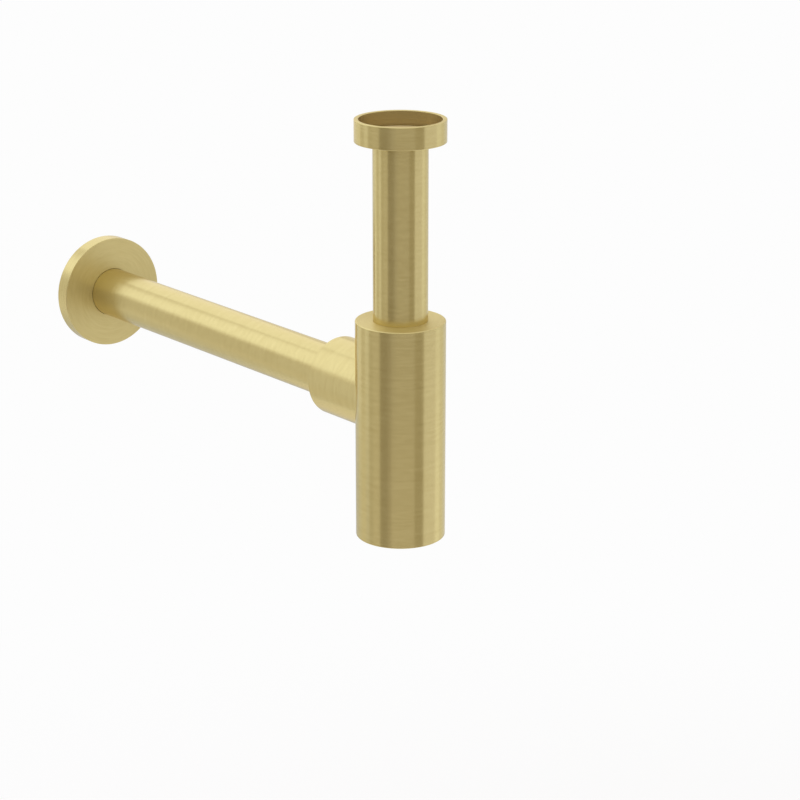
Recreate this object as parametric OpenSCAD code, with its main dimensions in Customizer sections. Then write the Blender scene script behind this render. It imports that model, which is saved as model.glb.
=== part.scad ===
// Round bottle trap for a wash basin, in brushed brass, for 32 mm waste pipe.
// Lengths are in millimetres. The origin is the centre of the inlet washer's sealing face,
// +Z points up to the basin, and the outlet runs along +Y to the wall.

/* [Inlet nut] */
// Outside diameter of the round inlet nut
nut_od = 53; // [52:0.5:58]
// Major diameter of the nut's inside thread, G 1 1/2
thread_major_d = 47.8; // [47:0.1:48.5]
// Minor diameter of the nut's inside thread
thread_minor_d = 44.85; // [44:0.05:45.5]
// Depth of the thread, from the nut's rim to the washer's sealing face
thread_depth = 8.3; // [7:0.1:12]
// Height of the undercut that the thread runs out into
relief_h = 1.2; // [0.8:0.1:1.4]
// Depth of that undercut past the thread's major radius
relief_depth = 0.35; // [0.2:0.05:0.6]
// Thickness of the lip that bears on the pipe's collar
lip_thick = 1.5; // [1.2:0.1:2.5]
// Lead-in chamfer at the mouth of the thread
lead_in = 0.5; // [0.3:0.1:1]

/* [Inlet seal] */
// Thickness of the sealing washer
washer_thick = 1.5; // [1.5:0.1:3]
// Thickness of the slip ring between the nut and the pipe's collar
slip_thick = 0.5; // [0.4:0.1:1]
// Thickness of the inlet pipe's rolled collar
collar_thick = 1.1; // [1:0.1:1.6]
// Radius of the bend under the rolled collar
collar_bend = 0.6; // [0.3:0.1:0.8]
// Radius of the pipe's rounded mouth inside the collar
mouth_round = 0.8; // [0.4:0.1:0.9]

/* [Pipes] */
// Outside diameter of the inlet and outlet pipes
pipe_od = 32; // [30:0.5:33]
// Wall of both pipes
pipe_wall = 1; // [0.8:0.1:1.5]
// Distance from the washer's sealing face down to the bottle's top face
inlet_drop = 109.7; // [60:0.1:160]
// Gap from the bottle's underside up to the end of the dip pipe
dip_gap = 20; // [16:0.5:40]
// Distance from the bottle's axis to the wall
wall_reach = 313.5; // [200:0.5:400]
// Length of outlet pipe past the wall face, for the waste socket in the wall
outlet_tail = 16.5; // [12:0.5:24]
// Length of outlet pipe inside its socket
outlet_insert = 27; // [22:0.5:28]
// Width of the ring that marks how far the outlet pipe goes into the wall
mark_w = 0.8; // [0.6:0.1:1.2]
// Depth of that ring
mark_depth = 0.3; // [0.2:0.05:0.4]

/* [Bottle] */
// Outside diameter of the bottle
bottle_od = 53; // [52:0.5:60]
// Height of the bottle
bottle_h = 132; // [120:1:180]
// Wall of the bottle's tube
bottle_wall = 1.5; // [1.2:0.1:2]
// Length of the bush in the bottle's top, which the inlet pipe slides in
bush_len = 18; // [17:0.5:24]
// Height of the ring in the bottle's foot, which holds the cleaning plug
base_h = 12; // [10:0.5:14]

/* [Outlet socket] */
// Distance from the bottle's top face down to the outlet's axis
outlet_drop = 47; // [44:0.5:70]
// Outside diameter of the outlet socket
socket_od = 48; // [44:0.5:50]
// Distance from the bottle's axis to the socket's mouth
socket_reach = 57; // [52:0.5:70]
// Space left behind the outlet pipe's end, up to the socket's stop
stop_gap = 3; // [1:0.5:4]
// Wall of the locating spigot that enters the bottle, round the waterway
spigot_wall = 2.4; // [1.5:0.1:3]

/* [Pipe seals] */
// Thickness of the O-rings round both pipes
oring_d = 3; // [2.5:0.1:3.4]
// Distance from a mouth to its first O-ring
gland_first = 6; // [5:0.5:7]
// Distance between the two O-rings of a mouth
gland_pitch = 7; // [6:0.5:8]
// Length of an O-ring's groove beyond the O-ring's own thickness
gland_play = 0.6; // [0.4:0.1:1]

/* [Wall flange] */
// Outside diameter of the wall flange
flange_od = 74; // [65:0.5:90]
// Depth of the flange, from its front face to the wall
flange_depth = 10; // [8:0.5:14]
// Thickness of the flange's front plate
flange_plate = 2; // [1.5:0.1:2.4]
// Wall of the flange's rim
flange_rim = 1.8; // [1.2:0.1:3]
// Wall of the hub round the outlet pipe
hub_wall = 4; // [3.6:0.1:5]
// Distance that the hub stops short of the wall
hub_short = 1; // [0.5:0.1:1.5]
// Thickness of the O-ring that grips the outlet pipe in the hub
grip_d = 2.4; // [2:0.1:2.6]

/* [Cleaning plug] */
// Mean diameter of the plug's thread, M40 x 1.5
plug_thread_d = 39; // [36:0.5:40]
// Step from the plug's thread out to the edge of its head
head_step = 2.5; // [2.4:0.1:2.8]
// Thickness of the plug's head
head_thick = 4; // [3.5:0.1:5]
// Wall of the plug's hollow shank
shank_wall = 3; // [2:0.1:4]
// Thickness of the O-ring under the plug's head
head_oring_d = 1.8; // [1.5:0.1:1.8]
// Width across flats of the hexagon socket in the head
hex_width = 12; // [8:0.5:14]
// Depth of that socket
hex_depth = 6; // [4.5:0.1:6.5]
// Metal round and over the hexagon socket
hex_cover = 2.5; // [1.5:0.1:3]

/* [Clearances] */
// Gap between a pipe and the bore that it slides in
slide_gap = 0.1; // [0.05:0.01:0.1]
// Gap between an O-ring and what it seals against
oring_gap = 0.05; // [0.03:0.01:0.1]
// Gap between two pieces that are brazed together
braze_gap = 0.05; // [0.03:0.01:0.08]
// Gap between flat faces that turn on each other
face_gap = 0.05; // [0.03:0.01:0.1]
// Gap round a piece that drops into a pocket
drop_gap = 0.2; // [0.1:0.05:0.3]
// Gap between the outlet pipe and the wall flange, or the inlet pipe and its nut
sleeve_gap = 0.4; // [0.3:0.05:0.5]
// Gap between the plug's thread and the thread that it screws into
thread_gap = 0.1; // [0.05:0.01:0.1]
// Chamfer on turned edges
edge = 0.4; // [0.2:0.1:0.6]

/* [Hidden] */
$fn = 96;

// Steps in a small rounded corner, and how far a cut runs past what it cuts
arc_steps = 6;
cut = 1;

brushed_brass = [0.72, 0.65, 0.44];
turned_brass = [0.66, 0.57, 0.34];
black_rubber = [0.09, 0.09, 0.09];
cream_rubber = [0.86, 0.78, 0.6];
nylon = [0.92, 0.91, 0.87];

// Radii shared by neighbouring pieces
pipe_r = pipe_od / 2;
bore_r = pipe_r - pipe_wall;
bottle_r = bottle_od / 2;
bottle_in_r = bottle_r - bottle_wall;
guide_r = pipe_r + slide_gap;
pocket_r = thread_minor_d / 2;
stack_r = pocket_r - drop_gap;
plug_r = plug_thread_d / 2;
head_r = plug_r + head_step;

// Heights of the inlet stack, from the sealing face down
collar_top = -washer_thick;
collar_under = collar_top - collar_thick;
slip_top = collar_under - face_gap;
lip_top = slip_top - slip_thick - face_gap;
nut_bottom = lip_top - lip_thick;

// Heights of the bottle, and places along the outlet
bottle_top = -inlet_drop;
bottle_bottom = bottle_top - bottle_h;
dip_end = bottle_bottom + dip_gap;
outlet_z = bottle_top - outlet_drop;
pipe_start = socket_reach - outlet_insert;
pipe_end = wall_reach + outlet_tail;
flange_front = wall_reach - flange_depth;
plug_top = bottle_bottom + base_h;
head_seat = bottle_bottom + head_thick + drop_gap;

// Points along a quarter or other part of a circle
function arc(centre, r, from, to) = [
    for (i = [0 : arc_steps])
        let (a = from + (to - from) * i / arc_steps)
        centre + r * [cos(a), sin(a)]
];

// Half section of a ring between two radii and two heights
function ring_outline(r_in, r_out, low, high) = [
    [r_in, low], [r_out, low], [r_out, high], [r_in, high]
];

// The same with a chamfer on each corner
function chamfered_outline(r_in, r_out, low, high, c) = [
    [r_in + c, low], [r_out - c, low], [r_out, low + c], [r_out, high - c],
    [r_out - c, high], [r_in + c, high], [r_in, high - c], [r_in, low + c]
];

// Places what is drawn upwards from the origin along the outlet's axis instead
module along_outlet() {
    translate([0, 0, outlet_z]) rotate([-90, 0, 0]) children();
}

// A ring turned from a half section
module turned(outline) {
    rotate_extrude() polygon(outline);
}

// The space of a groove in a bore, centred at a height
module groove(r_in, r_out, width, height) {
    turned(ring_outline(r_in, r_out, height - width / 2, height + width / 2));
}

// An O-ring that grips a shaft, centred at a height
module oring(shaft_r, thickness, height) {
    translate([0, 0, height])
        rotate_extrude() translate([shaft_r + oring_gap + thickness / 2, 0]) circle(d = thickness);
}

// The two O-ring grooves behind the mouth of a bore for a pipe, going down from the mouth
module pipe_glands(mouth) {
    gland_r = pipe_r + oring_d + 2 * oring_gap;
    for (i = [0, 1])
        groove(pipe_r, gland_r, oring_d + gland_play, mouth - gland_first - i * gland_pitch);
}

// Round nut: threaded cup, undercut, pocket for the seal stack, and the lip under it
module inlet_nut() {
    nut_r = nut_od / 2;
    thread_r = thread_major_d / 2 + braze_gap;
    relief_r = thread_r + relief_depth;
    lip_r = pipe_r + sleeve_gap;
    color(brushed_brass) turned([
        [lip_r, nut_bottom + edge], [lip_r + edge, nut_bottom], [nut_r - edge, nut_bottom],
        [nut_r, nut_bottom + edge], [nut_r, thread_depth - edge], [nut_r - edge, thread_depth],
        [thread_r + lead_in, thread_depth], [thread_r, thread_depth - lead_in],
        [thread_r, 0], [relief_r, 0], [relief_r, -relief_h], [pocket_r, -relief_h],
        [pocket_r, lip_top], [lip_r, lip_top]
    ]);
}

// Thin ring that lets the nut turn without dragging the collar round
module inlet_slip_ring() {
    slip_in_r = pipe_r + collar_bend + drop_gap;
    color(nylon) turned(ring_outline(slip_in_r, stack_r, slip_top - slip_thick, slip_top));
}

// Flat washer between the pipe's collar and the waste above
module inlet_washer() {
    color(cream_rubber) turned(ring_outline(bore_r + drop_gap, stack_r, collar_top, 0));
}

// Pipe with its end rolled out into a flat collar, running down inside the bottle
module inlet_pipe() {
    cut_edge = pipe_wall / 4;
    rim_r = collar_thick / 2;
    color(brushed_brass) turned(concat(
        [[bore_r + cut_edge, dip_end], [pipe_r - cut_edge, dip_end], [pipe_r, dip_end + cut_edge]],
        arc([pipe_r + collar_bend, collar_under - collar_bend], collar_bend, 180, 90),
        arc([stack_r - rim_r, collar_top - rim_r], rim_r, -90, 90),
        arc([bore_r + mouth_round, collar_top - mouth_round], mouth_round, 90, 180),
        [[bore_r, dip_end + cut_edge]]
    ));
}

// Turned bush brazed into the top of the bottle, with two O-ring grooves
module top_bush() {
    color(turned_brass) difference() {
        turned(ring_outline(guide_r, bottle_in_r - braze_gap, bottle_top - bush_len, bottle_top));
        pipe_glands(bottle_top);
    }
}

module inlet_oring_upper() {
    color(black_rubber) oring(pipe_r, oring_d, bottle_top - gland_first);
}

module inlet_oring_lower() {
    color(black_rubber) oring(pipe_r, oring_d, bottle_top - gland_first - gland_pitch);
}

// Drawn tube that makes the bottle's side, with the hole for the outlet
module bottle_tube() {
    color(brushed_brass) difference() {
        turned([
            [bottle_in_r, bottle_bottom], [bottle_r - edge, bottle_bottom],
            [bottle_r, bottle_bottom + edge], [bottle_r, bottle_top - edge],
            [bottle_r - edge, bottle_top], [bottle_in_r, bottle_top]
        ]);
        along_outlet() cylinder(h = bottle_r + cut, r = bore_r + spigot_wall + braze_gap);
    }
}

// Turned ring brazed into the foot of the bottle: thread, shoulder and recess for the plug
module base_ring() {
    thread_r = plug_r + thread_gap;
    recess_r = head_r + drop_gap;
    ring_r = bottle_in_r - braze_gap;
    color(turned_brass) turned([
        [recess_r + edge, bottle_bottom], [ring_r, bottle_bottom], [ring_r, plug_top],
        [thread_r + edge, plug_top], [thread_r, plug_top - edge],
        [thread_r, head_seat], [recess_r, head_seat], [recess_r, bottle_bottom + edge]
    ]);
}

// Hollow plug with a flush head: dirt settles in its cup, and a hexagon key turns it
module cleaning_plug() {
    cup_r = plug_r - shank_wall;
    boss_r = hex_width / sqrt(3) + hex_cover;
    boss_top = bottle_bottom + hex_depth + hex_cover;
    head_top = bottle_bottom + head_thick;
    gland_r = plug_r + head_oring_d + 3 * oring_gap;
    gland_floor = head_seat - head_oring_d - 2 * oring_gap;
    color(turned_brass) difference() {
        turned([
            [0, bottle_bottom], [head_r - edge, bottle_bottom], [head_r, bottle_bottom + edge],
            [head_r, head_top], [gland_r, head_top], [gland_r, gland_floor], [plug_r, gland_floor],
            [plug_r, plug_top - edge], [plug_r - edge, plug_top], [cup_r + edge, plug_top],
            [cup_r, plug_top - edge], [cup_r, head_top], [boss_r, head_top],
            [boss_r, boss_top], [0, boss_top]
        ]);
        translate([0, 0, bottle_bottom - cut])
            cylinder(h = hex_depth + cut, r = hex_width / sqrt(3), $fn = 6);
    }
}

module plug_oring() {
    color(black_rubber) oring(plug_r, head_oring_d, head_seat - oring_gap - head_oring_d / 2);
}

// Turned socket, coped to the round of the bottle, with a stop and two O-ring grooves
module outlet_socket() {
    stop = pipe_start - stop_gap;
    socket_r = socket_od / 2;
    color(brushed_brass) difference() {
        union() {
            difference() {
                along_outlet() turned([
                    [0, 0], [socket_r, 0], [socket_r, socket_reach - edge],
                    [socket_r - edge, socket_reach], [0, socket_reach]
                ]);
                translate([0, 0, outlet_z - socket_r - cut])
                    cylinder(h = socket_od + 2 * cut, r = bottle_r + braze_gap);
            }
            difference() {
                along_outlet() cylinder(h = pipe_start, r = bore_r + spigot_wall);
                translate([0, 0, outlet_z - socket_r - cut])
                    cylinder(h = socket_od + 2 * cut, r = bottle_in_r);
            }
        }
        along_outlet() {
            cylinder(h = socket_reach + cut, r = bore_r);
            turned([
                [0, stop], [guide_r, stop], [guide_r, socket_reach - edge],
                [guide_r + edge + slide_gap, socket_reach + slide_gap], [0, socket_reach + slide_gap]
            ]);
            pipe_glands(socket_reach);
        }
    }
}

module outlet_oring_outer() {
    color(black_rubber) along_outlet() oring(pipe_r, oring_d, socket_reach - gland_first);
}

module outlet_oring_inner() {
    color(black_rubber) along_outlet() oring(pipe_r, oring_d, socket_reach - gland_first - gland_pitch);
}

// Straight pipe to the wall, with a turned ring that marks how far its end goes in
module outlet_pipe() {
    cut_edge = pipe_wall / 4;
    color(brushed_brass) along_outlet() difference() {
        turned(chamfered_outline(bore_r, pipe_r, pipe_start, pipe_end, cut_edge));
        groove(pipe_r - mark_depth, pipe_r + cut, mark_w, wall_reach - mark_w / 2);
    }
}

// Hollow round cover for the hole in the wall, with a hub that slides on the pipe
module wall_flange() {
    flange_r = flange_od / 2;
    hub_in_r = pipe_r + sleeve_gap;
    hub_r = hub_in_r + hub_wall;
    grip_r = pipe_r + grip_d + 2 * oring_gap;
    color(brushed_brass) along_outlet() translate([0, 0, flange_front]) difference() {
        turned([
            [hub_in_r + edge, 0], [flange_r - edge, 0], [flange_r, edge],
            [flange_r, flange_depth], [flange_r - flange_rim, flange_depth],
            [flange_r - flange_rim, flange_plate], [hub_r, flange_plate],
            [hub_r, flange_depth - hub_short], [hub_in_r, flange_depth - hub_short],
            [hub_in_r, edge]
        ]);
        groove(pipe_r, grip_r, grip_d + gland_play, (flange_plate + flange_depth - hub_short) / 2);
    }
}

module flange_oring() {
    middle = flange_front + (flange_plate + flange_depth - hub_short) / 2;
    color(black_rubber) along_outlet() oring(pipe_r, grip_d, middle);
}

inlet_nut();
inlet_slip_ring();
inlet_washer();
inlet_pipe();
top_bush();
inlet_oring_upper();
inlet_oring_lower();
bottle_tube();
base_ring();
cleaning_plug();
plug_oring();
outlet_socket();
outlet_oring_inner();
outlet_oring_outer();
outlet_pipe();
wall_flange();
flange_oring();
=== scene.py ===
"""Looks of the round basin trap: brushed brass, seals and studio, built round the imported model."""
import logging
import math
from collections.abc import Iterable, Mapping, Sequence
from dataclasses import dataclass
from enum import Enum
from typing import Any

import bmesh
import bpy
from mathutils import Matrix, Vector


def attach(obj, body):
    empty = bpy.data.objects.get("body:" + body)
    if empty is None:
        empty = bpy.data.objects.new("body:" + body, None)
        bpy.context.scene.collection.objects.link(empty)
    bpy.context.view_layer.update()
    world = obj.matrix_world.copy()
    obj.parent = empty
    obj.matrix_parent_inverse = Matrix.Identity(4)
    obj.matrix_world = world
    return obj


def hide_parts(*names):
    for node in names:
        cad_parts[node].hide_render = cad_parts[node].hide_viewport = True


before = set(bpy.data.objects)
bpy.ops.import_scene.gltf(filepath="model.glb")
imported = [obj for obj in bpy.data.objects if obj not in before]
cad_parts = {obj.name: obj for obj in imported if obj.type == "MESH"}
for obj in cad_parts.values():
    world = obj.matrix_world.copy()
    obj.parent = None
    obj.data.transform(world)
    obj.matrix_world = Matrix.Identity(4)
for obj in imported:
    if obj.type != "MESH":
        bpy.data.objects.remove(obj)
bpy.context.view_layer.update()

LOG = logging.getLogger("basin_trap")
# Metres in a millimetre
MM = 0.001
# Facets round a turned piece, round one turn of a thread and round a screen
TURN_STEPS = 192
THREAD_STEPS = 96
SCREEN_STEPS = 12
# Facets in a rounded edge
ROUND_STEPS = 3
# Edges that turn by more than this, in degrees, are shaded as edges
SHARP_DEG = 35
# Even flats beside rounds: how much a face's size counts in its corners' normals
FLAT_WEIGHT = 100
# Points closer than this, in metres, are one point
WELD = 1e-7
# A cut leaves points closer together than this, in metres, which would give sliver faces
CUT_WELD = 1e-6


class Axis(Enum):
    """The two axes that the trap's pieces are turned about."""

    INLET = "inlet"
    OUTLET = "outlet"

    @property
    def centre(self) -> Vector:
        """A point on the axis, in metres."""
        return Vector((0, 0, 0)) if self is Axis.INLET else Vector((0, 0, OUTLET_Z * MM))

    @property
    def direction(self) -> Vector:
        """The axis as a unit vector: up for the inlet, to the wall for the outlet."""
        return Vector((0, 0, 1)) if self is Axis.INLET else Vector((0, 1, 0))

    @property
    def placing(self) -> Matrix:
        """What carries a piece turned about Z from the origin onto this axis."""
        turn = Matrix() if self is Axis.INLET else Matrix.Rotation(math.radians(-90), 4, "X")
        return Matrix.Translation(self.centre) @ turn


# Heights shared by the pieces, in millimetres from the washer's sealing face
BOTTLE_TOP = -109.7
BOTTLE_BOTTOM = -241.7
OUTLET_Z = -156.7
# Ridges of the foot's and the plug's threads as shares of the pitch, so that each fits between the other's
PLUG_BASE_SHARE = 0.62
PLUG_CREST_SHARE = 0.12


def linear(colour: str) -> tuple[float, float, float, float]:
    """Turn an sRGB hex colour into the linear one that a shader takes.

    Args:
        colour: Six hex digits after a hash sign.

    Returns:
        Red, green, blue and an alpha of 1.
    """
    parts = [int(colour[i:i + 2], 16) / 255 for i in (1, 3, 5)]
    # The sRGB curve: straight near black, and a power above that
    red, green, blue = (p / 12.92 if p <= 0.04045 else ((p + 0.055) / 1.055) ** 2.4 for p in parts)
    return red, green, blue, 1.0


def add_node(
    tree: bpy.types.NodeTree, kind: str, inputs: Mapping[Any, Any] | None = None, **settings: Any
) -> bpy.types.Node:
    """Add a shader node, set it up and link it.

    Args:
        tree: The node tree that gets the node.
        kind: The node's type, such as ShaderNodeMath.
        inputs: For each input, by name or index, the output that feeds it or its value.
        settings: Properties of the node, such as operation.

    Returns:
        The new node.
    """
    node = tree.nodes.new(kind)
    for name, value in settings.items():
        setattr(node, name, value)
    for key, value in (inputs or {}).items():
        if isinstance(value, bpy.types.NodeSocket):
            tree.links.new(value, node.inputs[key])
        else:
            node.inputs[key].default_value = value
    return node


@dataclass(frozen=True)
class Corner:
    """A corner of a turned outline, in millimetres."""

    radius: float
    height: float
    round: float = 0.0


def turned(corners: Sequence[Corner], steps: int = TURN_STEPS) -> bmesh.types.BMesh:
    """Turn a closed half section about Z.

    Args:
        corners: The section's corners in order, with the size of each one's round.
        steps: Facets round the turn.

    Returns:
        The closed solid, in metres.
    """
    solid = bmesh.new()
    points = [solid.verts.new((c.radius * MM, 0, c.height * MM)) for c in corners]
    for start, end in zip(points, points[1:] + points[:1]):
        if start.co.x > 0 or end.co.x > 0:
            solid.edges.new((start, end))
    for corner, point in zip(corners, points):
        if corner.round:
            bmesh.ops.bevel(
                solid, geom=[point], offset=corner.round * MM, offset_type="OFFSET",
                segments=ROUND_STEPS, profile=0.5, affect="VERTICES", material=-1,
            )
    bmesh.ops.spin(
        solid, geom=solid.verts[:] + solid.edges[:], cent=(0, 0, 0), axis=(0, 0, 1),
        dvec=(0, 0, 0), angle=math.tau, steps=steps, use_merge=True, use_duplicate=False,
    )
    bmesh.ops.remove_doubles(solid, verts=solid.verts, dist=WELD)
    bmesh.ops.recalc_face_normals(solid, faces=solid.faces)
    return solid


@dataclass(frozen=True)
class Thread:
    """A right-handed screw thread drawn as one helical ridge, in millimetres."""

    root: float
    crest: float
    pitch: float
    low: float
    high: float
    base_share: float = 0.8
    crest_share: float = 0.16
    # How far the ridge's foot is sunk into the wall, and its crest where the thread runs out
    foot_sink: float = 0.08
    end_sink: float = 0.02

    def ridge(self, start: float = 0.0) -> bmesh.types.BMesh:
        """Sweep the ridge's section along its helix.

        Args:
            start: Angle at which the ridge begins, in degrees.

        Returns:
            The closed ridge, with its foot sunk a little into the wall that carries it.
        """
        ridge = bmesh.new()
        sink = self.root - math.copysign(self.foot_sink, self.crest - self.root)
        base, crest = self.base_share * self.pitch / 2, self.crest_share * self.pitch / 2
        middle = self.low + self.base_share * self.pitch / 2
        section = [
            ridge.verts.new((radius * MM, 0, (middle + height) * MM))
            for radius, height in ((sink, -base), (self.crest, -crest), (self.crest, crest), (sink, base))
        ]
        face = ridge.faces.new(section)
        turns = (self.high - self.low) / self.pitch - self.base_share
        steps = round(turns * THREAD_STEPS)
        bmesh.ops.rotate(
            ridge, verts=ridge.verts, cent=(0, 0, 0),
            matrix=Matrix.Rotation(math.radians(start), 3, "Z"),
        )
        swept = bmesh.ops.spin(
            ridge, geom=[face], cent=(0, 0, 0), axis=(0, 0, 1), angle=math.tau * turns,
            dvec=(0, 0, self.pitch * MM * turns / steps), steps=steps, use_duplicate=False,
        )
        self.fade(face.verts[:] if face.is_valid else section)
        self.fade([v for v in swept["geom_last"] if isinstance(v, bmesh.types.BMVert)])
        bmesh.ops.recalc_face_normals(ridge, faces=ridge.faces)
        return ridge

    def fade(self, end: Iterable[bmesh.types.BMVert]) -> None:
        """Press one end of the ridge into the wall, so that the thread runs out there.

        Args:
            end: The vertices of the ridge's end section.
        """
        for vert in end:
            flat = Vector((vert.co.x, vert.co.y, 0))
            inside = self.root * MM - math.copysign(self.end_sink * MM, self.crest - self.root)
            if abs(flat.length - self.crest * MM) < WELD:
                vert.co -= flat - flat.normalized() * inside


def joined(*solids: bmesh.types.BMesh) -> bmesh.types.BMesh:
    """Put several solids into the first one.

    Args:
        solids: The solids, all but the first of which are freed.

    Returns:
        The first solid with the others in it.
    """
    first, *others = solids
    for other in others:
        carrier = bpy.data.meshes.new("carrier")
        other.to_mesh(carrier)
        other.free()
        first.from_mesh(carrier)
        bpy.data.meshes.remove(carrier)
    return first


def cut_away(solid: bmesh.types.BMesh, cutter: bmesh.types.BMesh) -> bmesh.types.BMesh:
    """Cut one solid with another by Blender's exact Boolean.

    Args:
        solid: The solid that is cut, which is freed.
        cutter: The solid that cuts it, which is freed.

    Returns:
        What is left of the first solid.
    """
    objects = []
    for name, source in (("cut_solid", solid), ("cut_tool", cutter)):
        mesh = bpy.data.meshes.new(name)
        source.to_mesh(mesh)
        source.free()
        objects.append(bpy.data.objects.new(name, mesh))
        bpy.context.scene.collection.objects.link(objects[-1])
    boolean = objects[0].modifiers.new("cut", "BOOLEAN")
    boolean.operation = "DIFFERENCE"
    boolean.solver = "EXACT"
    boolean.object = objects[1]
    bpy.context.view_layer.update()
    result = bmesh.new()
    result.from_object(objects[0], bpy.context.evaluated_depsgraph_get())
    bmesh.ops.remove_doubles(result, verts=result.verts, dist=CUT_WELD)
    bmesh.ops.dissolve_degenerate(result, edges=result.edges, dist=CUT_WELD)
    for made in objects:
        mesh = made.data
        bpy.data.objects.remove(made)
        bpy.data.meshes.remove(mesh)
    return result


@dataclass(frozen=True)
class BrushedBrass:
    """Lacquered brass brushed round its turning axis: faint rings, and light drawn out across them."""

    axis: Axis
    title: str = "brushed_brass"
    pale: str = "#D6C68B"
    deep: str = "#CEBD81"
    # Painted shade: bores get this darker colour, standing in for the shade that falls inside them
    bore_shade: str = "#BAA46C"
    # Lacquered brass keeps its yellow at a grazing angle, where bare metal turns white
    grazing: str = "#F6ECD7"
    # The fine scratches scatter a share of the light evenly, as a surface that isn't metal does
    metallic: float = 0.8
    roughness: float = 0.21
    # Bores and end faces come from the lathe without the last brushing, so they are duller
    turned_roughness: float = 0.45
    # How much the roughness changes across the brush lines
    line_roughness: float = 0.06
    anisotropy: float = 0.55
    # The real brush lines are about 0.1 mm apart, so they are drawn coarser, to show
    line_mm: float = 1.1
    # How many times the lines change in one radian
    arc_share: float = 2.5
    # Octaves of finer lines in each line, and how strong they are
    line_detail: float = 2.0
    line_fineness: float = 0.6
    # Values of the lines' noise that give the deep colour and the pale one
    deep_line: float = 0.3
    pale_line: float = 0.7
    relief_mm: float = 0.004
    # How far a face leans into a bore or across the axis: brushed below the first, turned above the second
    brushed_below: float = 0.6
    turned_above: float = 0.9

    def build(self) -> bpy.types.Material:
        """Make the material.

        Returns:
            The material, with its nodes.
        """
        material = bpy.data.materials.new(f"{self.title}_{self.axis.value}")
        material.use_nodes = True
        tree = material.node_tree
        tree.nodes.clear()
        radial, height, radius, around = self.turning_coordinates(tree)
        lines = self.rings(tree, around, height, radius)
        share = add_node(
            tree, "ShaderNodeMapRange",
            {"Value": lines, "From Min": self.deep_line, "From Max": self.pale_line},
        )
        brushed = add_node(
            tree, "ShaderNodeMix",
            {0: share.outputs[0], 6: linear(self.deep), 7: linear(self.pale)}, data_type="RGBA",
        )
        bored, unbrushed = self.unbrushed(tree, around)
        # Painted shade: the colour is mixed towards the darker bore colour inside bores
        colour = add_node(
            tree, "ShaderNodeMix",
            {0: bored, 6: brushed.outputs[2], 7: linear(self.bore_shade)}, data_type="RGBA",
        )
        dull = add_node(
            tree, "ShaderNodeMapRange",
            {"Value": unbrushed, "To Min": self.roughness - self.line_roughness / 2,
             "To Max": self.turned_roughness - self.line_roughness / 2},
        )
        uneven = add_node(
            tree, "ShaderNodeMath", {0: lines, 1: self.line_roughness, 2: dull.outputs[0]},
            operation="MULTIPLY_ADD",
        )
        bump = add_node(
            tree, "ShaderNodeBump", {"Height": lines, "Distance": self.relief_mm * MM, "Strength": 1.0}
        )
        shader = add_node(
            tree, "ShaderNodeBsdfPrincipled",
            {"Base Color": colour.outputs[2], "Metallic": self.metallic, "Roughness": uneven.outputs[0],
             "Anisotropic": self.anisotropy, "Specular Tint": linear(self.grazing),
             "Normal": bump.outputs[0], "Tangent": self.tangent(tree, radial)},
        )
        add_node(tree, "ShaderNodeOutputMaterial", {"Surface": shader.outputs[0]})
        return material

    def turning_coordinates(self, tree: bpy.types.NodeTree) -> tuple[bpy.types.NodeSocket, ...]:
        """Measure each point from the turning axis.

        Args:
            tree: The material's node tree.

        Returns:
            The vector out from the axis, the height along it, the radius, and the unit vector out.
        """
        place = add_node(tree, "ShaderNodeTexCoord")
        centred = add_node(
            tree, "ShaderNodeMapping",
            {"Vector": place.outputs["Object"], "Location": tuple(-self.axis.centre)},
        ).outputs[0]
        height = add_node(
            tree, "ShaderNodeVectorMath", {0: centred, 1: tuple(self.axis.direction)},
            operation="DOT_PRODUCT",
        ).outputs["Value"]
        along = add_node(
            tree, "ShaderNodeVectorMath", {0: tuple(self.axis.direction), "Scale": height},
            operation="SCALE",
        )
        radial = add_node(
            tree, "ShaderNodeVectorMath", {0: centred, 1: along.outputs[0]}, operation="SUBTRACT"
        ).outputs[0]
        radius = add_node(tree, "ShaderNodeVectorMath", {0: radial}, operation="LENGTH").outputs["Value"]
        around = add_node(tree, "ShaderNodeVectorMath", {0: radial}, operation="NORMALIZE").outputs[0]
        return radial, height, radius, around

    def unbrushed(
        self, tree: bpy.types.NodeTree, around: bpy.types.NodeSocket
    ) -> tuple[bpy.types.NodeSocket, bpy.types.NodeSocket]:
        """Tell bores and faces across the axis from the outside that is brushed.

        Args:
            tree: The material's node tree.
            around: The unit vector out from the axis.

        Returns:
            A share that is 1 in bores, which also places the painted bore shade, and one that is 1 both
            there and on faces across the axis.
        """
        normal = add_node(tree, "ShaderNodeTexCoord").outputs["Normal"]
        across = add_node(
            tree, "ShaderNodeVectorMath", {0: normal, 1: tuple(self.axis.direction)},
            operation="DOT_PRODUCT",
        ).outputs["Value"]
        outward = add_node(
            tree, "ShaderNodeVectorMath", {0: normal, 1: around}, operation="DOT_PRODUCT"
        ).outputs["Value"]
        flat = add_node(tree, "ShaderNodeMath", {0: across}, operation="ABSOLUTE").outputs[0]
        inward = add_node(tree, "ShaderNodeMath", {0: outward, 1: -1.0}, operation="MULTIPLY").outputs[0]
        either = add_node(tree, "ShaderNodeMath", {0: flat, 1: inward}, operation="MAXIMUM").outputs[0]
        bored, unbrushed = (
            add_node(
                tree, "ShaderNodeMapRange",
                {"Value": facing, "From Min": self.brushed_below, "From Max": self.turned_above},
            )
            for facing in (inward, either)
        )
        return bored.outputs[0], unbrushed.outputs[0]

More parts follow.
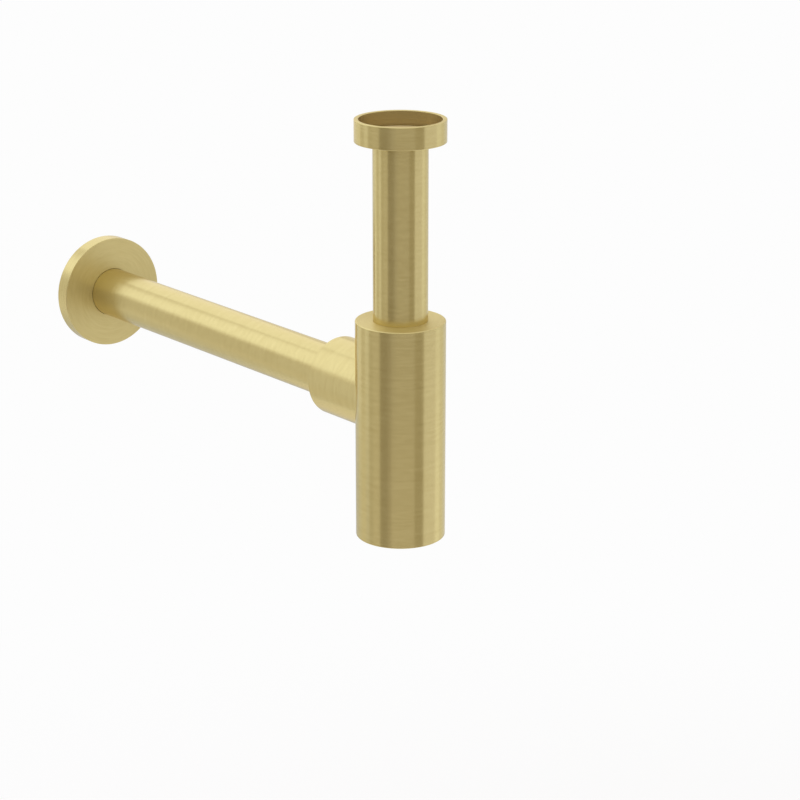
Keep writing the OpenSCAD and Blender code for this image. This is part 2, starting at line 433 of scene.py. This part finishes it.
    def rings(
        self, tree: bpy.types.NodeTree, around: bpy.types.NodeSocket, height: bpy.types.NodeSocket,
        radius: bpy.types.NodeSocket,
    ) -> bpy.types.NodeSocket:
        """Noise that changes fast along and out from the axis, and slowly round it.

        Args:
            tree: The material's node tree.
            around: The unit vector out from the axis.
            height: The height along the axis, in metres.
            radius: The distance from the axis, in metres.

        Returns:
            A value of about 0.5.
        """
        density = 1 / (self.line_mm * MM)
        rise = add_node(
            tree, "ShaderNodeMath", {0: height, 1: density}, operation="MULTIPLY"
        ).outputs[0]
        lifted = add_node(
            tree, "ShaderNodeVectorMath", {0: tuple(self.axis.direction), "Scale": rise},
            operation="SCALE",
        ).outputs[0]
        spread = add_node(
            tree, "ShaderNodeVectorMath", {0: around, 1: (self.arc_share,) * 3, 2: lifted},
            operation="MULTIPLY_ADD",
        ).outputs[0]
        outward = add_node(
            tree, "ShaderNodeMath", {0: radius, 1: density}, operation="MULTIPLY"
        ).outputs[0]
        noise = add_node(
            tree, "ShaderNodeTexNoise",
            {"Vector": spread, "W": outward, "Scale": 1.0, "Detail": self.line_detail,
             "Roughness": self.line_fineness},
            noise_dimensions="4D",
        )
        return noise.outputs[0]

    def tangent(self, tree: bpy.types.NodeTree, radial: bpy.types.NodeSocket) -> bpy.types.NodeSocket:
        """Direction across the brush lines, along which the light is drawn out.

        Args:
            tree: The material's node tree.
            radial: The vector out from the axis.

        Returns:
            The tangent in world space.
        """
        lay = add_node(
            tree, "ShaderNodeVectorMath", {0: tuple(self.axis.direction), 1: radial},
            operation="CROSS_PRODUCT",
        ).outputs[0]
        place = add_node(tree, "ShaderNodeTexCoord")
        across = add_node(
            tree, "ShaderNodeVectorMath", {0: place.outputs["Normal"], 1: lay},
            operation="CROSS_PRODUCT",
        ).outputs[0]
        return add_node(
            tree, "ShaderNodeVectorTransform", {"Vector": across},
            vector_type="VECTOR", convert_from="OBJECT", convert_to="WORLD",
        ).outputs[0]


@dataclass(frozen=True)
class MouldedRubber:
    """Moulded rubber or plastic: a fine even grain, and a faint cloudiness in the colour."""

    title: str
    pale: str
    deep: str
    roughness: float
    # Mould grain of about 0.1 mm, drawn at four times that to show
    grain_mm: float = 0.4
    cloud_mm: float = 6.0
    # Octaves of finer grain and cloud
    detail: float = 3.0
    # How much the grain changes the roughness, up and down
    grain_roughness: float = 0.06
    relief_mm: float = 0.01
    relief_strength: float = 0.6
    ior: float = 1.5

    def build(self) -> bpy.types.Material:
        """Make the material.

        Returns:
            The material, with its nodes.
        """
        material = bpy.data.materials.new(self.title)
        material.use_nodes = True
        tree = material.node_tree
        tree.nodes.clear()
        place = add_node(tree, "ShaderNodeTexCoord").outputs["Object"]
        cloud, grain = (
            add_node(
                tree, "ShaderNodeTexNoise",
                {"Vector": place, "Scale": 1 / (size * MM), "Detail": self.detail},
            )
            for size in (self.cloud_mm, self.grain_mm)
        )
        colour = add_node(
            tree, "ShaderNodeMix",
            {0: cloud.outputs[0], 6: linear(self.deep), 7: linear(self.pale)}, data_type="RGBA",
        )
        dull = add_node(
            tree, "ShaderNodeMapRange",
            {"Value": grain.outputs[0], "To Min": self.roughness - self.grain_roughness,
             "To Max": self.roughness + self.grain_roughness},
        )
        bump = add_node(
            tree, "ShaderNodeBump",
            {"Height": grain.outputs[0], "Distance": self.relief_mm * MM,
             "Strength": self.relief_strength},
        )
        shader = add_node(
            tree, "ShaderNodeBsdfPrincipled",
            {"Base Color": colour.outputs[2], "Roughness": dull.outputs[0], "IOR": self.ior,
             "Normal": bump.outputs[0]},
        )
        add_node(tree, "ShaderNodeOutputMaterial", {"Surface": shader.outputs[0]})
        return material


@dataclass(frozen=True)
class Finishes:
    """The finishes of the trap, each made once."""

    inlet_brass: bpy.types.Material
    outlet_brass: bpy.types.Material
    turned_brass: bpy.types.Material
    black_rubber: bpy.types.Material
    cream_rubber: bpy.types.Material
    nylon: bpy.types.Material

    @classmethod
    def make(cls) -> "Finishes":
        """Build every material."""
        return cls(
            # Brushed and lacquered brass: a pale soft sheen with faint rings
            inlet_brass=BrushedBrass(Axis.INLET).build(),
            outlet_brass=BrushedBrass(Axis.OUTLET).build(),
            # Brass as it comes from the lathe, without lacquer: a deeper yellow and finer rings
            # Its bores take the painted shade colour too, here the same as its deep yellow
            turned_brass=BrushedBrass(
                Axis.INLET, title="turned_brass", pale="#D3B464", deep="#BA9B50", bore_shade="#BA9B50",
                metallic=1.0, roughness=0.24, anisotropy=0.6, line_mm=0.35, arc_share=0.3,
            ).build(),
            # Moulded EPDM: near black and dull
            black_rubber=MouldedRubber(
                "black_epdm_rubber", pale="#1E1E1D", deep="#121212", roughness=0.5
            ).build(),
            # Moulded silicone: cream, with a low gloss
            cream_rubber=MouldedRubber(
                "cream_silicone_rubber", pale="#E4CF9C", deep="#DCC48E", roughness=0.42
            ).build(),
            # Moulded nylon: milky white, and the glossiest of the moulded pieces
            nylon=MouldedRubber(
                "natural_nylon", pale="#EBE7DA", deep="#DFD9C8", roughness=0.36, ior=1.53
            ).build(),
        )


def place_piece(
    name: str, solid: bmesh.types.BMesh, axis: Axis, finish: bpy.types.Material,
    body: str, node: str,
) -> None:
    """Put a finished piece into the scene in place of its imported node.

    Args:
        name: The piece's name.
        solid: Its mesh about Z, which is freed.
        axis: The axis that it is carried onto.
        finish: Its material.
        body: The body that it moves with.
        node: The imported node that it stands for.
    """
    solid.transform(axis.placing)
    mesh = bpy.data.meshes.new(name)
    solid.to_mesh(mesh)
    solid.free()
    mesh.shade_smooth()
    mesh.set_sharp_from_angle(angle=math.radians(SHARP_DEG))
    mesh.materials.append(finish)
    piece = bpy.data.objects.new(name, mesh)
    bpy.context.scene.collection.objects.link(piece)
    weighted = piece.modifiers.new("even_flats", "WEIGHTED_NORMAL")
    weighted.keep_sharp = True
    weighted.weight = FLAT_WEIGHT
    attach(piece, body)
    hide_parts(node)
    LOG.info("%s: %d faces, rides on %s", name, len(mesh.polygons), body)


@dataclass(frozen=True)
class InletNut:
    """Round union nut: threaded cup, undercut, pocket for the seals and the lip under them."""

    outer: float = 26.5
    rim: float = 8.3
    foot: float = -4.7
    thread_root: float = 23.95
    # Drawn shallow, because the photo shows none of it
    thread_crest: float = 23.93
    thread_foot: float = 0.1
    thread_top: float = 5.4
    pitch: float = 2.309
    lead_in: float = 0.2
    relief: float = 24.3
    relief_floor: float = -1.2
    pocket: float = 22.425
    lip: float = 16.4
    lip_top: float = -3.2
    edge: float = 0.35

    def build(self, finishes: Finishes) -> None:
        """Model and dress the nut.

        Args:
            finishes: The trap's materials.
        """
        shell = turned([
            Corner(self.lip, self.foot, self.edge),
            Corner(self.outer, self.foot, self.edge),
            Corner(self.outer, self.rim, self.edge),
            Corner(self.thread_root + self.lead_in, self.rim, self.edge / 2),
            Corner(self.thread_root, self.rim - self.lead_in),
            Corner(self.thread_root, 0),
            Corner(self.relief, 0),
            Corner(self.relief, self.relief_floor),
            Corner(self.pocket, self.relief_floor),
            Corner(self.pocket, self.lip_top),
            Corner(self.lip, self.lip_top, self.edge / 2),
        ])
        thread = Thread(
            self.thread_root, self.thread_crest, self.pitch, low=self.thread_foot,
            high=self.thread_top,
        )
        place_piece(
            "inlet_nut_turned", joined(shell, thread.ridge()), Axis.INLET, finishes.inlet_brass,
            "nut", "inlet_nut",
        )


@dataclass(frozen=True)
class InletPipe:
    """Inlet pipe with its rolled collar, the washer on it and the slip ring under it."""

    outer: float = 16.0
    bore: float = 15.0
    dip_end: float = -221.7
    collar: float = 22.225
    collar_top: float = -1.5
    collar_under: float = -2.6
    cut_edge: float = 0.25
    bend: float = 0.6
    rim_round: float = 0.5
    mouth_round: float = 0.8
    washer_bore: float = 15.2
    washer_edge: float = 0.15

    def build(self, finishes: Finishes) -> None:
        """Model and dress the pipe and its washer, and dress the slip ring.

        Args:
            finishes: The trap's materials.
        """
        pipe = turned([
            Corner(self.bore, self.dip_end, self.cut_edge),
            Corner(self.outer, self.dip_end, self.cut_edge),
            Corner(self.outer, self.collar_under, self.bend),
            Corner(self.collar, self.collar_under, self.rim_round),
            Corner(self.collar, self.collar_top, self.rim_round),
            Corner(self.bore, self.collar_top, self.mouth_round),
        ])
        place_piece(
            "inlet_pipe_drawn", pipe, Axis.INLET, finishes.inlet_brass,
            "inlet", "inlet_pipe",
        )
        washer = turned([
            Corner(self.washer_bore, self.collar_top, self.washer_edge),
            Corner(self.collar, self.collar_top, self.washer_edge),
            Corner(self.collar, 0, self.washer_edge),
            Corner(self.washer_bore, 0, self.washer_edge),
        ])
        place_piece(
            "inlet_washer_moulded", washer, Axis.INLET, finishes.cream_rubber,
            "inlet", "inlet_washer",
        )
        dress_nodes(["inlet_slip_ring"], finishes.nylon)


@dataclass(frozen=True)
class PipeMouth:
    """A bore that a pipe slides in, with two O-ring grooves behind its mouth."""

    guide: float = 16.1
    groove: float = 19.1
    groove_width: float = 3.6
    first: float = 6.0
    pitch: float = 7.0
    # The mouth is drawn close round the pipe, because the photo shows no gap there
    mouth: float = 16.04
    mouth_depth: float = 0.5
    mouth_round: float = 0.03

    def corners(self, top: float) -> list[Corner]:
        """Outline of the bore from its mouth inwards.

        Args:
            top: Height of the mouth, which faces up.

        Returns:
            The corners, down to the far side of the second groove.
        """
        outline = [
            Corner(self.mouth, top, self.mouth_round),
            Corner(self.mouth, top - self.mouth_depth),
            Corner(self.guide, top - self.mouth_depth),
        ]
        for middle in (top - self.first, top - self.first - self.pitch):
            ceiling, floor = middle + self.groove_width / 2, middle - self.groove_width / 2
            outline += [
                Corner(self.guide, ceiling), Corner(self.groove, ceiling),
                Corner(self.groove, floor), Corner(self.guide, floor),
            ]
        return outline


@dataclass(frozen=True)
class Bottle:
    """The brazed bottle: side tube, top bush, foot ring and the outlet's socket."""

    outer: float = 26.5
    inner: float = 25.0
    edge: float = 0.4
    top_edge: float = 0.7
    bush_foot: float = -127.7
    foot_top: float = -229.7
    foot_thread: float = 20.05
    foot_thread_crest: float = 19.25
    foot_pitch: float = 1.5
    recess: float = 22.2
    recess_top: float = -237.5
    socket: float = 24.0
    socket_mouth: float = 57.0
    socket_stop: float = 27.0
    waterway: float = 15.0
    spigot: float = 17.4
    # The cope is sunk this far into the tube's side, so that no gap shows round the socket
    cope_sink: float = 0.04
    # How far inside the tube's bore the cope's cutter begins
    cope_overlap: float = 1.0
    mouth: PipeMouth = PipeMouth()

    def build(self, finishes: Finishes) -> None:
        """Model and dress the four brazed pieces.

        Args:
            finishes: The trap's materials.
        """
        place_piece(
            "bottle_tube_drawn", self.side_tube(), Axis.INLET, finishes.inlet_brass,
            "bottle", "bottle_tube",
        )
        place_piece(
            "top_bush_turned", self.top_bush(), Axis.INLET, finishes.inlet_brass,
            "bottle", "top_bush",
        )
        place_piece(
            "base_ring_turned", self.foot_ring(), Axis.INLET, finishes.turned_brass,
            "bottle", "base_ring",
        )
        place_piece(
            "outlet_socket_turned", self.outlet_socket(), Axis.OUTLET, finishes.outlet_brass,
            "bottle", "outlet_socket",
        )

    def side_tube(self) -> bmesh.types.BMesh:
        """Draw the tube with the hole for the outlet's spigot.

        Returns:
            The tube about Z.
        """
        tube = turned([
            Corner(self.inner, BOTTLE_BOTTOM),
            Corner(self.outer, BOTTLE_BOTTOM, self.edge),
            Corner(self.outer, BOTTLE_TOP, self.top_edge),
            Corner(self.inner, BOTTLE_TOP),
        ])
        hole = turned([
            Corner(0, self.inner / 2), Corner(self.spigot, self.inner / 2),
            Corner(self.spigot, self.outer * 2), Corner(0, self.outer * 2),
        ])
        hole.transform(Axis.OUTLET.placing)
        return cut_away(tube, hole)

    def top_bush(self) -> bmesh.types.BMesh:
        """Turn the bush in the bottle's top, flush with the tube."""
        return turned([
            Corner(self.mouth.guide, self.bush_foot, self.edge),
            Corner(self.inner, self.bush_foot),
            Corner(self.inner, BOTTLE_TOP),
            *self.mouth.corners(BOTTLE_TOP),
        ])

    def foot_ring(self) -> bmesh.types.BMesh:
        """Turn the ring in the bottle's foot, threaded for the cleaning plug.

        Returns:
            The ring about Z.
        """
        ring = turned([
            Corner(self.recess, BOTTLE_BOTTOM, self.edge),
            Corner(self.inner, BOTTLE_BOTTOM),
            Corner(self.inner, self.foot_top),
            Corner(self.foot_thread, self.foot_top, self.edge),
            Corner(self.foot_thread, self.recess_top, self.edge),
            Corner(self.recess, self.recess_top),
        ])
        thread = Thread(
            self.foot_thread, self.foot_thread_crest, self.foot_pitch,
            low=self.recess_top + self.edge, high=self.foot_top - self.edge,
            base_share=PLUG_BASE_SHARE, crest_share=PLUG_CREST_SHARE,
        )
        return joined(ring, thread.ridge())

    def outlet_socket(self) -> bmesh.types.BMesh:
        """Turn the socket, coped to the round of the bottle, with its spigot through the tube's wall.

        Returns:
            The socket about Z, with its mouth up.
        """
        blank = turned([
            Corner(self.waterway, self.waterway / 2),
            Corner(self.socket, self.waterway / 2),
            Corner(self.socket, self.socket_mouth, self.edge),
            *self.mouth.corners(self.socket_mouth),
            Corner(self.mouth.guide, self.socket_stop),
            Corner(self.waterway, self.socket_stop),
        ])
        high, low = self.socket * 2, -self.socket * 2
        inside, outside = self.inner - self.cope_overlap, self.outer - self.cope_sink
        wall = turned([
            Corner(inside, low), Corner(outside, low), Corner(outside, high), Corner(inside, high),
        ])
        spigot = turned([
            Corner(0, 0), Corner(self.spigot, 0),
            Corner(self.spigot, self.outer * 2), Corner(0, self.outer * 2),
        ])
        upright = Matrix.Rotation(math.radians(90), 4, "X")
        wall.transform(upright)
        core = turned([
            Corner(0, low), Corner(self.inner, low), Corner(self.inner, high), Corner(0, high),
        ])
        core.transform(upright)
        return cut_away(cut_away(blank, cut_away(wall, spigot)), core)


@dataclass(frozen=True)
class CleaningPlug:
    """Hollow screw plug in the bottle's foot, turned by a hexagon key."""

    head: float = 22.0
    head_top: float = -237.7
    gland: float = 21.45
    gland_floor: float = -239.4
    seat: float = 19.5
    thread_root: float = 19.1
    thread_crest: float = 19.92
    pitch: float = 1.5
    thread_start: float = -237.1
    top: float = -229.7
    cup: float = 16.5
    boss: float = 9.43
    boss_top: float = -233.2
    key_flats: float = 12.0
    key_depth: float = 6.0
    edge: float = 0.4
    # Half a turn from the ring's ridge, so that each lies in the other's groove
    thread_angle: float = 180.0

    def build(self, finishes: Finishes) -> None:
        """Model and dress the plug.

        Args:
            finishes: The trap's materials.
        """
        plug = turned([
            Corner(0, BOTTLE_BOTTOM),
            Corner(self.head, BOTTLE_BOTTOM, self.edge),
            Corner(self.head, self.head_top),
            Corner(self.gland, self.head_top),
            Corner(self.gland, self.gland_floor),
            Corner(self.seat, self.gland_floor),
            Corner(self.seat, self.thread_start - 2 * self.edge),
            Corner(self.thread_root, self.thread_start - self.edge),
            Corner(self.thread_root, self.top, self.edge),
            Corner(self.cup, self.top, self.edge),
            Corner(self.cup, self.head_top, self.edge),
            Corner(self.boss, self.head_top, self.edge),
            Corner(self.boss, self.boss_top, self.edge),
            Corner(0, self.boss_top),
        ])
        key = bmesh.new()
        bmesh.ops.create_cone(
            key, cap_ends=True, segments=6, radius1=self.key_flats / math.sqrt(3) * MM,
            radius2=self.key_flats / math.sqrt(3) * MM, depth=2 * self.key_depth * MM,
            matrix=Matrix.Translation((0, 0, BOTTLE_BOTTOM * MM)),
        )
        thread = Thread(
            self.thread_root, self.thread_crest, self.pitch,
            low=self.thread_start, high=self.top - self.edge,
            base_share=PLUG_BASE_SHARE, crest_share=PLUG_CREST_SHARE,
        )
        place_piece(
            "cleaning_plug_turned", joined(cut_away(plug, key), thread.ridge(self.thread_angle)),
            Axis.INLET, finishes.turned_brass, "plug", "cleaning_plug",
        )


@dataclass(frozen=True)
class OutletPipe:
    """Outlet pipe to the wall, with the ring that marks how far it goes in."""

    outer: float = 16.0
    bore: float = 15.0
    start: float = 30.0
    end: float = 330.0
    wall: float = 313.5
    mark_width: float = 0.8
    mark_floor: float = 15.7
    cut_edge: float = 0.25

    def build(self, finishes: Finishes) -> None:
        """Model and dress the pipe.

        Args:
            finishes: The trap's materials.
        """
        pipe = turned([
            Corner(self.bore, self.start, self.cut_edge),
            Corner(self.outer, self.start, self.cut_edge),
            Corner(self.outer, self.wall - self.mark_width),
            Corner(self.mark_floor, self.wall - self.mark_width),
            Corner(self.mark_floor, self.wall),
            Corner(self.outer, self.wall),
            Corner(self.outer, self.end, self.cut_edge),
            Corner(self.bore, self.end, self.cut_edge),
        ])
        place_piece(
            "outlet_pipe_drawn", pipe, Axis.OUTLET, finishes.outlet_brass,
            "outlet", "outlet_pipe",
        )


@dataclass(frozen=True)
class WallFlange:
    """Hollow round flange that covers the hole in the wall."""

    outer: float = 37.0
    front: float = 303.5
    wall: float = 313.5
    plate: float = 2.0
    rim: float = 35.2
    bore: float = 16.4
    # The mouth is drawn close round the pipe, because the photo shows only a hair line there
    mouth: float = 16.15
    mouth_depth: float = 0.6
    hub: float = 20.4
    hub_end: float = 312.5
    groove: float = 18.5
    groove_low: float = 307.5
    groove_high: float = 310.5
    edge: float = 0.4
    mouth_round: float = 0.08
    inner_round: float = 0.8

    def build(self, finishes: Finishes) -> None:
        """Model and dress the flange.

        Args:
            finishes: The trap's materials.
        """
        inside = self.front + self.plate
        flange = turned([
            Corner(self.mouth, self.front, self.mouth_round),
            Corner(self.outer, self.front, self.edge),
            Corner(self.outer, self.wall, self.edge / 2),
            Corner(self.rim, self.wall, self.edge / 2),
            Corner(self.rim, inside, self.inner_round),
            Corner(self.hub, inside, self.inner_round),
            Corner(self.hub, self.hub_end, self.edge),
            Corner(self.bore, self.hub_end, self.edge),
            Corner(self.bore, self.groove_high),
            Corner(self.groove, self.groove_high),
            Corner(self.groove, self.groove_low),
            Corner(self.bore, self.groove_low),
            Corner(self.bore, self.front + self.mouth_depth),
            Corner(self.mouth, self.front + self.mouth_depth),
        ])
        place_piece(
            "wall_flange_turned", flange, Axis.OUTLET, finishes.outlet_brass,
            "flange", "wall_flange",
        )


def dress_nodes(names: Sequence[str], finish: bpy.types.Material) -> None:
    """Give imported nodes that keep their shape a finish.

    Args:
        names: The nodes' names.
        finish: The material that they get.
    """
    for name in names:
        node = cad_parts[name]
        node.data.materials.clear()
        node.data.materials.append(finish)
        LOG.info("%s: packed node, dressed with %s", name, finish.name)


@dataclass(frozen=True)
class Seals:
    """The O-rings of the trap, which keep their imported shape."""

    nodes: tuple[str, ...] = (
        "inlet_oring_upper", "inlet_oring_lower", "plug_oring",
        "outlet_oring_inner", "outlet_oring_outer", "flange_oring",
    )

    def build(self, finishes: Finishes) -> None:
        """Dress the O-rings.

        Args:
            finishes: The trap's materials.
        """
        dress_nodes(self.nodes, finishes.black_rubber)


@dataclass(frozen=True)
class Screen:
    """A curved upright screen that only the metal's reflections see.

    Start and end are azimuths in degrees to the right of the camera, as seen from the bottle. Low
    and high are the brightness of its lower and upper part, and top is its upper edge in metres.
    """

    name: str
    start: float
    end: float
    low: float
    high: float
    tint: str = "#FFFFFF"
    top: float = 0.3


@dataclass(frozen=True)
class SoftBox:
    """A large rectangular lamp that faces the trap.

    Azimuth and elevation are in degrees, the azimuth to the right of the camera, and extra is how
    much brighter than the white room the lamp looks.
    """

    name: str
    azimuth: float
    elevation: float
    width: float
    height: float
    extra: float
    tint: str = "#FFFFFF"


@dataclass(frozen=True)
class Studio:
    """White room with soft boxes, screens and a pale floor, and the camera at the photo's angle."""

    # The camera, in degrees, metres and millimetres of lens
    azimuth: float = -40.31
    elevation: float = 18.19
    distance: float = 1.33778
    target_z: float = -0.15843
    lens: float = 102.78
    sensor: float = 36.0
    shift_x: float = -0.000625
    # The studio's places and sizes, in metres
    floor_z: float = -0.8
    floor_half: float = 12.0
    lamp_distance: float = 1.5
    screen_distance: float = 0.85
    # How strongly the white room lights the trap, where 1 is what is seen of it
    fill: float = 0.85
    white: str = "#FDFDFD"
    floor_paint: str = "#F0EEEC"
    # What lifts the floor to near white where it is seen
    floor_glow: float = 0.18
    # Radii between which the floor turns into the white of the room, in metres
    fade_start: float = 0.4
    fade_end: float = 1.2
    # Heights at which a screen has its low and its high brightness
    screen_low_z: float = -0.5
    screen_high_z: float = -0.38
    boxes: tuple[SoftBox, ...] = (
        SoftBox("left_soft_box", -108, 38, 1.0, 1.2, 0.42, "#DCE8FF"),
        SoftBox("back_soft_box", -160, 36, 0.9, 1.6, 0.38, "#DCE8FF"),
    )
    screens: tuple[Screen, ...] = (
        Screen("back_low_screen", -178, -132, 0.85, 1.05, "#E5EDFF", -0.18),
        Screen("back_left_screen", -132, -116, 0.76, 0.97, "#FCFDFF", 0.0),
        Screen("left_back_screen", -116, -100, 0.78, 0.69, "#FFFBF2", 0.0),
        Screen("left_bright_screen", -100, -86, 0.71, 0.87, "#FDFDFF", 0.0),
        Screen("left_shade_screen", -86, -74, 0.56, 0.56, "#FFF8EA", 0.1),
        Screen("left_pale_screen", -74, -53, 0.66, 0.61, "#FFF9F0", 0.1),
        Screen("left_grey_screen", -53, -32, 0.315, 0.28, "#FFEFD6", 0.08),
        Screen("front_left_grey_screen", -32, -23, 0.445, 0.33, "#FFF2E4", 0.08),
        Screen("front_left_screen", -23, -12, 0.6, 0.435, "#FFF7F0", 0.08),
        Screen("front_screen", -12, 36, 0.585, 0.495, "#FFF7EE", 0.08),
        Screen("right_grey_screen", 36, 60, 0.395, 0.385, "#FFF1D7", 0.08),
        Screen("right_pale_screen", 60, 99, 0.9, 0.83, "#FBFAFF", 0.45),
        Screen("right_bright_screen", 99, 117, 1.18, 1.03, "#F7F9FF"),
        Screen("right_back_screen", 117, 134, 0.93, 0.86, "#FCFDFF"),
        Screen("right_far_screen", 134, 170, 1.04, 1.0, "#E9EFFF"),
    )

    def build(self) -> None:
        """Make the camera, world, floor, lamps and screens."""
        self.add_camera()
        self.add_world()
        self.add_floor()
        for box in self.boxes:
            self.add_soft_box(box)
        for screen in self.screens:
            self.add_screen(screen)
        bpy.context.scene.view_settings.view_transform = "Standard"

    @property
    def target(self) -> Vector:
        """The point on the bottle's axis that the camera looks at."""
        return Vector((0, 0, self.target_z))

    def towards(self, azimuth: float, elevation: float) -> Vector:
        """Unit vector from the target.

        Args:
            azimuth: Degrees to the right of the camera.
            elevation: Degrees above the horizon.

        Returns:
            The direction.
        """
        turn = math.radians(self.azimuth + azimuth)
        lift = math.radians(elevation)
        level = math.cos(lift)
        return Vector((math.sin(turn) * level, -math.cos(turn) * level, math.sin(lift)))

    def add_camera(self) -> None:
        """Place the camera as in the photo."""
        data = bpy.data.cameras.new("camera")
        data.lens = self.lens
        data.sensor_width = self.sensor
        data.shift_x = self.shift_x
        camera = bpy.data.objects.new("camera", data)
        back = self.towards(0, self.elevation)
        camera.location = self.target + back * self.distance
        camera.rotation_euler = back.to_track_quat("Z", "Y").to_euler()
        bpy.context.scene.collection.objects.link(camera)
        bpy.context.scene.camera = camera

    def seen_rays(self, tree: bpy.types.NodeTree) -> bpy.types.NodeSocket:
        """Tell the rays that see the background from those that light the trap.

        Args:
            tree: The node tree of a material or of the world.

        Returns:
            1 for camera, glossy and transmission rays, else 0.
        """
        rays = add_node(tree, "ShaderNodeLightPath").outputs
        seen = rays["Is Camera Ray"]
        for kind in ("Is Glossy Ray", "Is Transmission Ray"):
            seen = add_node(
                tree, "ShaderNodeMath", {0: seen, 1: rays[kind]}, operation="MAXIMUM"
            ).outputs[0]
        return seen

    def add_world(self) -> None:
        """White room: full white where it is seen, softer as a light."""
        world = bpy.data.worlds.new("white_room")
        bpy.context.scene.world = world
        world.use_nodes = True
        tree = world.node_tree
        tree.nodes.clear()
        strength = add_node(
            tree, "ShaderNodeMapRange", {"Value": self.seen_rays(tree), "To Min": self.fill, "To Max": 1.0}
        )
        shader = add_node(tree, "ShaderNodeBackground", {"Strength": strength.outputs[0]})
        shader.inputs["Color"].default_value = linear(self.white)
        add_node(tree, "ShaderNodeOutputWorld", {"Surface": shader.outputs[0]})

    def add_floor(self) -> None:
        """Plain pale floor, far enough down for a trap under a basin, that fades into the white room."""
        material = bpy.data.materials.new("pale_painted_floor")
        material.use_nodes = True
        tree = material.node_tree
        tree.nodes.clear()
        paint = add_node(tree, "ShaderNodeBsdfDiffuse", {"Color": linear(self.floor_paint)})
        strength = add_node(
            tree, "ShaderNodeMath", {0: self.seen_rays(tree), 1: self.floor_glow}, operation="MULTIPLY"
        )
        glow = add_node(tree, "ShaderNodeEmission", {"Strength": strength.outputs[0]})
        near = add_node(tree, "ShaderNodeAddShader", {0: paint.outputs[0], 1: glow.outputs[0]})
        level = add_node(
            tree, "ShaderNodeMapRange", {"Value": self.seen_rays(tree), "To Min": self.fill, "To Max": 1.0}
        )
        far = add_node(
            tree, "ShaderNodeEmission", {"Color": linear(self.white), "Strength": level.outputs[0]}
        )
        place = add_node(tree, "ShaderNodeTexCoord").outputs["Object"]
        level_place = add_node(
            tree, "ShaderNodeVectorMath", {0: place, 1: (1, 1, 0)}, operation="MULTIPLY"
        ).outputs[0]
        radius = add_node(
            tree, "ShaderNodeVectorMath", {0: level_place}, operation="LENGTH"
        ).outputs["Value"]
        fade = add_node(
            tree, "ShaderNodeMapRange",
            {"Value": radius, "From Min": self.fade_start, "From Max": self.fade_end},
            interpolation_type="SMOOTHSTEP",
        )
        floor = add_node(
            tree, "ShaderNodeMixShader", {0: fade.outputs[0], 1: near.outputs[0], 2: far.outputs[0]}
        )
        add_node(tree, "ShaderNodeOutputMaterial", {"Surface": floor.outputs[0]})
        sheet = bmesh.new()
        bmesh.ops.create_grid(
            sheet, x_segments=1, y_segments=1, size=self.floor_half,
            matrix=Matrix.Translation((0, 0, self.floor_z)),
        )
        self.add_stage_object("floor", sheet, material)

    def add_stage_object(
        self, name: str, solid: bmesh.types.BMesh, material: bpy.types.Material
    ) -> bpy.types.Object:
        """Add a mesh that isn't part of the trap.

        Args:
            name: The object's name.
            solid: Its mesh, which is freed.
            material: Its material.

        Returns:
            The new object.
        """
        mesh = bpy.data.meshes.new(name)
        solid.to_mesh(mesh)
        solid.free()
        mesh.materials.append(material)
        made = bpy.data.objects.new(name, mesh)
        bpy.context.scene.collection.objects.link(made)
        return made

    def add_soft_box(self, box: SoftBox) -> None:
        """Hang a soft box so that it faces the trap.

        Args:
            box: The soft box.
        """
        data = bpy.data.lights.new(box.name, "AREA")
        data.shape = "RECTANGLE"
        data.size = box.width
        data.size_y = box.height
        # A lamp adds to what is behind it, and gives off a quarter of its power a square metre
        data.energy = box.extra * 4 * box.width * box.height
        data.color = linear(box.tint)[:3]
        lamp = bpy.data.objects.new(box.name, data)
        away = self.towards(box.azimuth, box.elevation)
        lamp.location = self.target + away * self.lamp_distance
        lamp.rotation_euler = away.to_track_quat("Z", "Y").to_euler()
        lamp.visible_camera = False
        bpy.context.scene.collection.objects.link(lamp)

    def add_screen(self, screen: Screen) -> None:
        """Stand a screen on the floor, round the bottle's axis.

        Args:
            screen: The screen.
        """
        material = bpy.data.materials.new(screen.name)
        material.use_nodes = True
        tree = material.node_tree
        tree.nodes.clear()
        place = add_node(tree, "ShaderNodeTexCoord").outputs["Object"]
        height = add_node(tree, "ShaderNodeSeparateXYZ", {0: place}).outputs["Z"]
        level = add_node(
            tree, "ShaderNodeMapRange",
            {"Value": height, "From Min": self.screen_low_z, "From Max": self.screen_high_z,
             "To Min": screen.low, "To Max": screen.high},
        )
        glow = add_node(
            tree, "ShaderNodeEmission", {"Color": linear(screen.tint), "Strength": level.outputs[0]}
        )
        add_node(tree, "ShaderNodeOutputMaterial", {"Surface": glow.outputs[0]})
        sheet = bmesh.new()
        foot = self.towards(screen.start, 0) * self.screen_distance
        edge = [sheet.verts.new((foot.x, foot.y, z)) for z in (self.floor_z, screen.top)]
        span = math.radians(screen.end - screen.start)
        bmesh.ops.spin(
            sheet, geom=[*edge, sheet.edges.new(edge)], cent=(0, 0, 0), axis=(0, 0, 1),
            dvec=(0, 0, 0), angle=span, steps=SCREEN_STEPS, use_duplicate=False,
        )
        card = self.add_stage_object(screen.name, sheet, material)
        for ray in ("camera", "diffuse", "transmission", "volume_scatter", "shadow"):
            setattr(card, f"visible_{ray}", False)


def main() -> None:
    """Build the studio and the trap's pieces in order."""
    logging.basicConfig(level=logging.INFO, format="%(name)s: %(message)s")
    Studio().build()
    finishes = Finishes.make()
    for part in (InletNut(), InletPipe(), Bottle(), CleaningPlug(), OutletPipe(), WallFlange(), Seals()):
        part.build(finishes)


if __name__ == "__main__":
    main()
